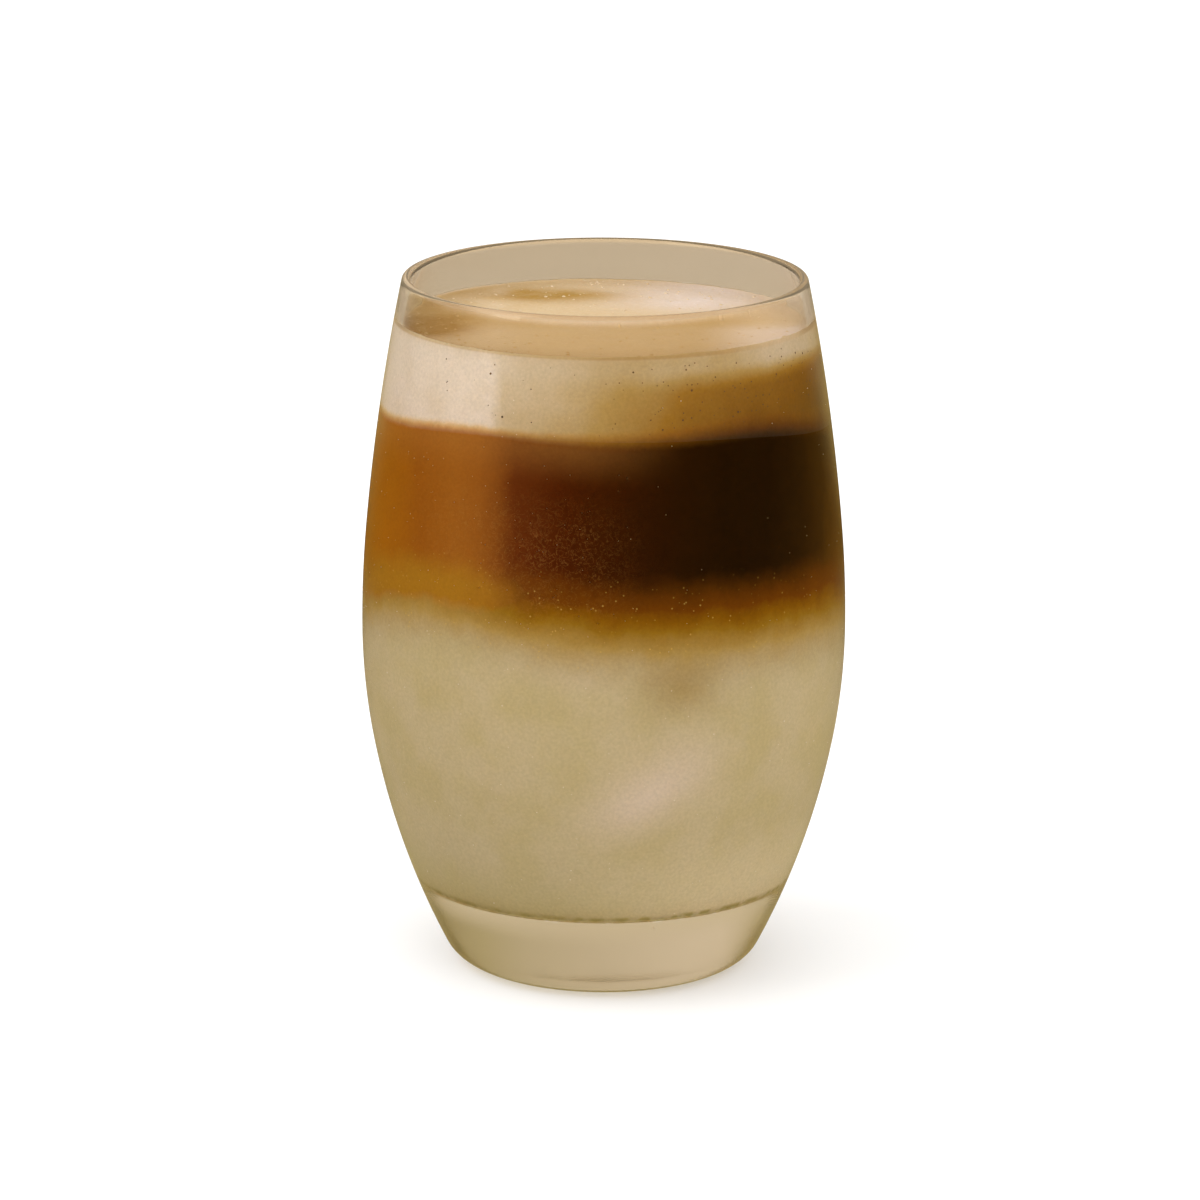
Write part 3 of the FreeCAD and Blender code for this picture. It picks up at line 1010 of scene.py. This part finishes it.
def speck_material():
    look = Look("coffee_specks")
    browns = (srgb(70, 42, 14), srgb(112, 74, 28))
    return look.finish(look.mottled(3 * MM, browns, (0.5, 0.8)))


# -------- scattered things
DOME_SHARE = 0.56


def ball(radius, segments, rings, flatness=1.0, dome=False):
    """Points and faces of a small ball, or of a little more than its upper half, about the origin."""
    span = math.pi * (DOME_SHARE if dome else 1.0)
    points = [Vector((0, 0, radius * flatness))]
    for row in range(1, rings):
        tilt = span * row / rings
        out = radius * math.sin(tilt)
        height = radius * flatness * math.cos(tilt)
        for i in range(segments):
            turn = TAU * i / segments
            points.append(Vector((out * math.cos(turn), out * math.sin(turn), height)))
    last = len(points)
    points.append(Vector((0, 0, radius * flatness * math.cos(span))))
    faces = [(0, 1 + i, 1 + (i + 1) % segments) for i in range(segments)]
    for upper in range(1, last - segments, segments):
        faces += ring_faces(upper + segments, upper, segments)
    first = last - segments
    faces += [(last, first + (i + 1) % segments, first + i) for i in range(segments)]
    return points, faces


def scatter(name, shapes, material):
    """One joined mesh of many small shapes, each (points, faces, matrix)."""
    points = []
    faces = []
    for shape_points, shape_faces, matrix in shapes:
        start = len(points)
        points += [matrix @ p for p in shape_points]
        faces += [tuple(start + i for i in face) for face in shape_faces]
    piece = add_mesh(name, points, faces)
    piece.data.materials.append(material)
    return piece


def facing(place, outward, spin):
    """A matrix that puts a shape's top along outward at a place."""
    turn = outward.to_track_quat("Z", "Y").to_matrix().to_4x4()
    return Matrix.Translation(place) @ turn @ Matrix.Rotation(spin, 4, "Z")


SLOPE_STEP = 0.2 * MM


def wall_place(radius_at, angle, height):
    """A point of a wall and its outward direction."""
    radius = radius_at(height)
    slope = (radius_at(height + SLOPE_STEP) - radius_at(height - SLOPE_STEP)) / (2 * SLOPE_STEP)
    outward = Vector((math.cos(angle), math.sin(angle), -slope)).normalized()
    return Vector((radius * math.cos(angle), radius * math.sin(angle), height)), outward


DROP_COUNT = 700
DROP_LOWEST = 14 * MM
DROP_HIGHEST = 106 * MM
DROP_SMALLEST = 0.05 * MM
DROP_GROWTH = 0.07 * MM
DROP_FLATNESS = 0.28
SPECK_COUNT = 330
SPECK_SIZES = (0.06, 0.14)
SPECK_BIG_SHARE = 0.1
SPECK_GROWTH = 0.08 * MM
SPECK_FLATNESS = 0.5
SPECK_INTO_WALL = INTO_WALL + 0.01 * MM
BUBBLE_COUNT = 420
BUBBLE_SMALLEST = 0.10
BUBBLE_GROWTH = 0.28
BUBBLE_FLATNESS = 0.8
BUBBLE_SINK = 0.25
UP = Vector((0, 0, 1))


def drop_chance(angle, height):
    """How likely a drop stays: surely beside the coffee at the left, and least beside it at the right."""
    beside_coffee = smoothstep(58 * MM, 74 * MM, height) * smoothstep(100 * MM, 92 * MM, height)
    at_right = smoothstep(-0.2, 0.4, math.cos(angle))
    return 0.35 + beside_coffee * (0.65 - 0.85 * at_right)


def make_drops(chance):
    """Condensation: low drops of water on the outside of the glass, from the foam down to the base."""
    shapes = []
    while len(shapes) < DROP_COUNT:
        height = chance.uniform(DROP_LOWEST, DROP_HIGHEST)
        angle = chance.uniform(0, TAU)
        if chance.random() > drop_chance(angle, height):
            continue
        place, outward = wall_place(outer_radius, angle, height)
        size = DROP_SMALLEST + DROP_GROWTH * chance.random() ** 2
        points, faces = ball(size, 8, 5, DROP_FLATNESS, dome=True)
        shapes.append((points, faces, facing(place, outward, chance.uniform(0, TAU))))
    return scatter("water_drops", shapes, water_material())


def make_specks(chance):
    """Specks of ground coffee in the foam, against the inside of the glass, most of them at the right."""
    shapes = []
    while len(shapes) < SPECK_COUNT:
        angle = chance.uniform(0, TAU)
        if chance.random() > 0.12 + 0.88 * smoothstep(-0.2, 0.3, math.cos(angle)):
            continue
        height = chance.uniform(COFFEE_LEVEL + 0.5 * MM, FOAM_LEVEL - 0.6 * MM)
        place, outward = wall_place(inner_radius, angle, height)
        size = chance.uniform(*SPECK_SIZES) * MM
        if chance.random() > 1 - SPECK_BIG_SHARE:
            size += SPECK_GROWTH
        points, faces = ball(size, 6, 4, SPECK_FLATNESS)
        place += outward * SPECK_INTO_WALL
        shapes.append((points, faces, facing(place, outward, chance.uniform(0, TAU))))
    return scatter("coffee_specks", shapes, speck_material())


def make_bubbles(chance):
    """Bubbles standing in the foam's top, most of them near the wall."""
    shapes = []
    reach = inner_radius(FOAM_LEVEL) - 0.5 * MM
    while len(shapes) < BUBBLE_COUNT:
        share = math.sqrt(chance.random())
        if chance.random() > 0.2 + 0.8 * share**6:
            continue
        angle = chance.uniform(0, TAU)
        x = share * reach * math.cos(angle)
        y = share * reach * math.sin(angle)
        size = (BUBBLE_SMALLEST + BUBBLE_GROWTH * chance.random() ** 3) * MM
        place = Vector((x, y, uneven_foam(x, y) - BUBBLE_SINK * size))
        points, faces = ball(size, 10, 5, BUBBLE_FLATNESS, dome=True)
        shapes.append((points, faces, facing(place, UP, 0)))
    return scatter("foam_bubbles", shapes, bubble_material())


ICE_STEPS = 9
ICE_DENT = 0.05
ICE_DENT_SIZE = 9 * MM
WELD_DISTANCE = 0.001 * MM


def cube_point(cube, spot):
    """A point of a rounded, slightly dented cube from a point of the unit cube."""
    core = cube.half - Vector((1, 1, 1)) * cube.rounding
    local = Vector([spot[i] * cube.half[i] for i in range(3)])
    nearest = Vector([max(-core[i], min(core[i], local[i])) for i in range(3)])
    away = local - nearest
    if away.length > 0:
        local = nearest + away.normalized() * cube.rounding
    local *= 1 + ICE_DENT * noise.noise(local / ICE_DENT_SIZE)
    return cube.turn @ local + cube.centre


def cube_side(cube, axis, side):
    """A grid of points over one side of a rounded cube."""
    points = []
    for row in range(ICE_STEPS + 1):
        for column in range(ICE_STEPS + 1):
            spot = Vector((0, 0, 0))
            spot[axis] = side
            spot[(axis + 1) % 3] = side * (2 * row / ICE_STEPS - 1)
            spot[(axis + 2) % 3] = 2 * column / ICE_STEPS - 1
            points.append(cube_point(cube, spot))
    return points


def grid_faces(first, rows, columns):
    """Quads of a grid of points, row after row from the first."""
    faces = []
    for row in range(rows):
        for column in range(columns):
            low = first + row * (columns + 1) + column
            high = low + columns + 1
            faces.append((low, high, high + 1, low + 1))
    return faces


def weld(piece):
    mesh = bmesh.new()
    mesh.from_mesh(piece.data)
    bmesh.ops.remove_doubles(mesh, verts=mesh.verts, dist=WELD_DISTANCE)
    bmesh.ops.recalc_face_normals(mesh, faces=mesh.faces)
    mesh.to_mesh(piece.data)
    mesh.free()
    piece.data.shade_smooth()


def make_ice():
    """The ice cubes, worn round by melting, as one mesh."""
    points = []
    faces = []
    for cube in ICE:
        for axis in range(3):
            for side in (-1, 1):
                faces += grid_faces(len(points), ICE_STEPS, ICE_STEPS)
                points += cube_side(cube, axis, side)
    piece = add_mesh("ice_cubes", points, faces)
    weld(piece)
    return piece


# -------- building the object
glass = make_glass()
glass.data.materials.append(glass_material())
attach(glass, "root")
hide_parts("glass")

milk = make_milk()
note_places(milk)
note(milk, "ice", ice_glow)
milk.data.materials.append(drink_material("coconut_milk", scatter=0.2, roughness=0.45))
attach(milk, "root")
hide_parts("coconut_milk")

coffee = make_coffee()
note_places(coffee)
note(coffee, "ice", nowhere)
coffee.data.materials.append(drink_material("coffee", scatter=0.1, roughness=0.4))
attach(coffee, "root")
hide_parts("coffee")

foam = make_foam()
note_places(foam)
note(foam, "ice", nowhere)
note(foam, "swirl", foam_swirl)
note(foam, "cream", foam_cream)
note(foam, "on_top", on_top)
foam.data.materials.append(
    drink_material("foam", scatter=0.25, roughness=0.6, colour_of=foam_colour, relief=0.08 * MM, shine=0.2)
)
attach(foam, "root")
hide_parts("foam")

ice = make_ice()
ice.data.materials.append(ice_material())
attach(ice, "root")

drops = make_drops(random.Random(11))
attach(drops, "root")

specks = make_specks(random.Random(12))
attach(specks, "root")

bubbles = make_bubbles(random.Random(13))
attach(bubbles, "root")


# -------- studio
FLOOR_GAP = 0.15 * MM
FLOOR_SIDE = 12.0
FLOOR_GLOW = 0.16
ROOM_MIRRORED = (0.40, 0.344, 0.264, 1.0)
BOWL_OUTLINE = [(0.034, 0.0), (0.15, 0.104), (0.15, 0.138)]
# What the wall mirrors from in front and from behind, by height in metres.
BOWL_IN_FRONT = [
    (0.0, (0.40, 0.32, 0.14, 1.0)),
    (0.03, (0.40, 0.31, 0.15, 1.0)),
    (0.055, (0.14, 0.085, 0.02, 1.0)),
    (0.10, (0.12, 0.07, 0.01, 1.0)),
    (0.12, (0.24, 0.17, 0.06, 1.0)),
    (0.138, (0.32, 0.25, 0.13, 1.0)),
]
BOWL_BEHIND = [
    (0.0, (0.46, 0.38, 0.20, 1.0)),
    (0.025, (0.46, 0.36, 0.18, 1.0)),
    (0.038, (0.20, 0.12, 0.03, 1.0)),
    (0.058, (0.20, 0.12, 0.03, 1.0)),
    (0.078, (0.38, 0.28, 0.10, 1.0)),
    (0.10, (0.40, 0.32, 0.20, 1.0)),
    (0.138, (0.38, 0.31, 0.21, 1.0)),
]
WINDOW_RADIUS = 0.15
# The window's ends, in degrees to the left from straight in front.
WINDOW_FRONT = 43
WINDOW_BACK = 165
WINDOW_FOOT = 0.138
WINDOW_TOP = 0.30
WINDOW_BRIGHT = 2.4
WINDOW_DIM = 0.8
WINDOW_TONE = (1.0, 0.84, 0.62, 1.0)


def make_floor():
    """A plain pale floor that reads white, keeps the glass's shadow and looks tan in mirror images."""
    half = FLOOR_SIDE / 2
    corners = [(-half, -half), (half, -half), (half, half), (-half, half)]
    piece = add_mesh("floor", [(x, y, -FLOOR_GAP) for x, y in corners], [(0, 1, 2, 3)], smooth=False)
    look = Look("floor")
    path = look.add("ShaderNodeLightPath").outputs
    seen = look.math("MAXIMUM", path["Is Camera Ray"], path["Is Transmission Ray"])
    paper = look.remap(look.noise(30 * MM), NOISE_LOW, NOISE_HIGH)
    shade = look.mix(paper, grey(0.80), grey(0.81))
    matt = look.add("ShaderNodeBsdfDiffuse", {"Color": shade}).outputs[0]
    lift = look.glow(grey(1.0), look.times(seen, FLOOR_GLOW))
    lit = look.add("ShaderNodeAddShader", {0: matt, 1: lift}).outputs[0]
    tan = look.glow(BOWL_IN_FRONT[0][1], 1.0)
    shader = look.add("ShaderNodeMixShader", {0: look.mirrored(), 1: lit, 2: tan}).outputs[0]
    piece.data.materials.append(look.finish(shader))


def make_world():
    """White light from all round, and a dim warm room in mirror images."""
    nodes = Nodes(bpy.data.worlds.new("studio"), "ShaderNodeOutputWorld")
    colour = nodes.mix(nodes.mirrored(), grey(1.0), ROOM_MIRRORED)
    background = nodes.add("ShaderNodeBackground", {"Color": colour, "Strength": 1.0})
    bpy.context.scene.world = nodes.finish(background.outputs[0])


def only_mirrored(piece):
    """Let a part of the studio be seen in mirror images alone."""
    piece.visible_camera = False
    piece.visible_diffuse = False
    piece.visible_transmission = False
    piece.visible_shadow = False


def turned_sheet(name, outline, first, last, count):
    """A sheet turned about the axis between two angles from its outline's (radius, height) pairs."""
    points = []
    for i in range(count + 1):
        turn = math.radians(first + (last - first) * i / count - 90)
        points += [(radius * math.cos(turn), radius * math.sin(turn), height) for radius, height in outline]
    return add_mesh(name, points, grid_faces(0, count, len(outline) - 1), smooth=False)


def make_surroundings():
    """What the wall of the glass mirrors: a bowl round it, tan at its foot and top and dark between."""
    look = Look("surroundings")
    cloud = look.remap(look.noise(20 * MM), NOISE_LOW, NOISE_HIGH, 0.9, 1.1)
    behind = look.remap(look.y, 0.05, 0.10)
    colour = look.mix(behind, look.ramp(look.z, BOWL_IN_FRONT), look.ramp(look.z, BOWL_BEHIND))
    bowl = turned_sheet("surroundings", BOWL_OUTLINE, 0, 360, 72)
    bowl.data.materials.append(look.finish(look.glow(colour, cloud)))
    only_mirrored(bowl)


def make_window():
    """A bright window above the surroundings at the left, which the rim mirrors."""
    look = Look("window")
    strength = look.remap(look.y, -0.11, 0.06, WINDOW_BRIGHT, WINDOW_DIM)
    outline = [(WINDOW_RADIUS, WINDOW_FOOT), (WINDOW_RADIUS, WINDOW_TOP)]
    pane = turned_sheet("window", outline, -WINDOW_FRONT, -WINDOW_BACK, 60)
    pane.data.materials.append(look.finish(look.glow(WINDOW_TONE, strength)))
    only_mirrored(pane)


LAMP_AIM = Vector((0, 0, 0.09))


def toward(azimuth, elevation):
    """A direction from the glass; azimuth 0 is in front of it and 90 at its right."""
    turn = math.radians(azimuth - 90)
    rise = math.radians(elevation)
    return Vector((math.cos(rise) * math.cos(turn), math.cos(rise) * math.sin(turn), math.sin(rise)))


def soft_box(name, azimuth, elevation, distance, width, height, radiance):
    """A soft box aimed at the drink, which lights it and isn't seen itself."""
    data = bpy.data.lights.new(name, "AREA")
    data.shape = "RECTANGLE"
    data.size = width
    data.size_y = height
    data.energy = radiance * math.pi * width * height
    lamp = bpy.data.objects.new(name, data)
    lamp.location = LAMP_AIM + distance * toward(azimuth, elevation)
    lamp.rotation_euler = (LAMP_AIM - lamp.location).to_track_quat("-Z", "Y").to_euler()
    lamp.visible_camera = False
    lamp.visible_glossy = False
    lamp.visible_transmission = False
    bpy.context.scene.collection.objects.link(lamp)


def light_the_glass():
    """A key from the left, a soft fill from in front and a little light from the right."""
    soft_box("key", azimuth=-80, elevation=48, distance=1.2, width=1.15, height=0.66, radiance=3.0)
    soft_box("fill", azimuth=25, elevation=28, distance=1.6, width=1.4, height=1.0, radiance=2.1)
    soft_box("side", azimuth=105, elevation=22, distance=1.4, width=0.9, height=0.8, radiance=1.85)


CAMERA_DISTANCE = 0.911
CAMERA_PITCH = 14.84
CAMERA_ROLL = -0.241
CAMERA_AIM = Vector((0, 0, 62.19 * MM))
CAMERA_SHIFT = -0.0032
LENS = 161.8
SENSOR = 36.0


def make_camera():
    """A long lens from in front and a little above, shifted and rolled a touch, as in the picture."""
    data = bpy.data.cameras.new("camera")
    data.lens = LENS
    data.sensor_width = SENSOR
    data.shift_x = CAMERA_SHIFT
    data.clip_start = 0.05
    data.clip_end = 50.0
    pitch = math.radians(CAMERA_PITCH)
    camera = bpy.data.objects.new("camera", data)
    camera.location = CAMERA_AIM + CAMERA_DISTANCE * Vector((0, -math.cos(pitch), math.sin(pitch)))
    level = (CAMERA_AIM - camera.location).to_track_quat("-Z", "Y").to_matrix()
    camera.rotation_euler = (level @ Matrix.Rotation(math.radians(-CAMERA_ROLL), 3, "Z")).to_euler()
    bpy.context.scene.collection.objects.link(camera)
    bpy.context.scene.camera = camera


make_floor()
make_world()
make_surroundings()
make_window()
light_the_glass()
make_camera()

bpy.context.scene.view_settings.view_transform = "Standard"
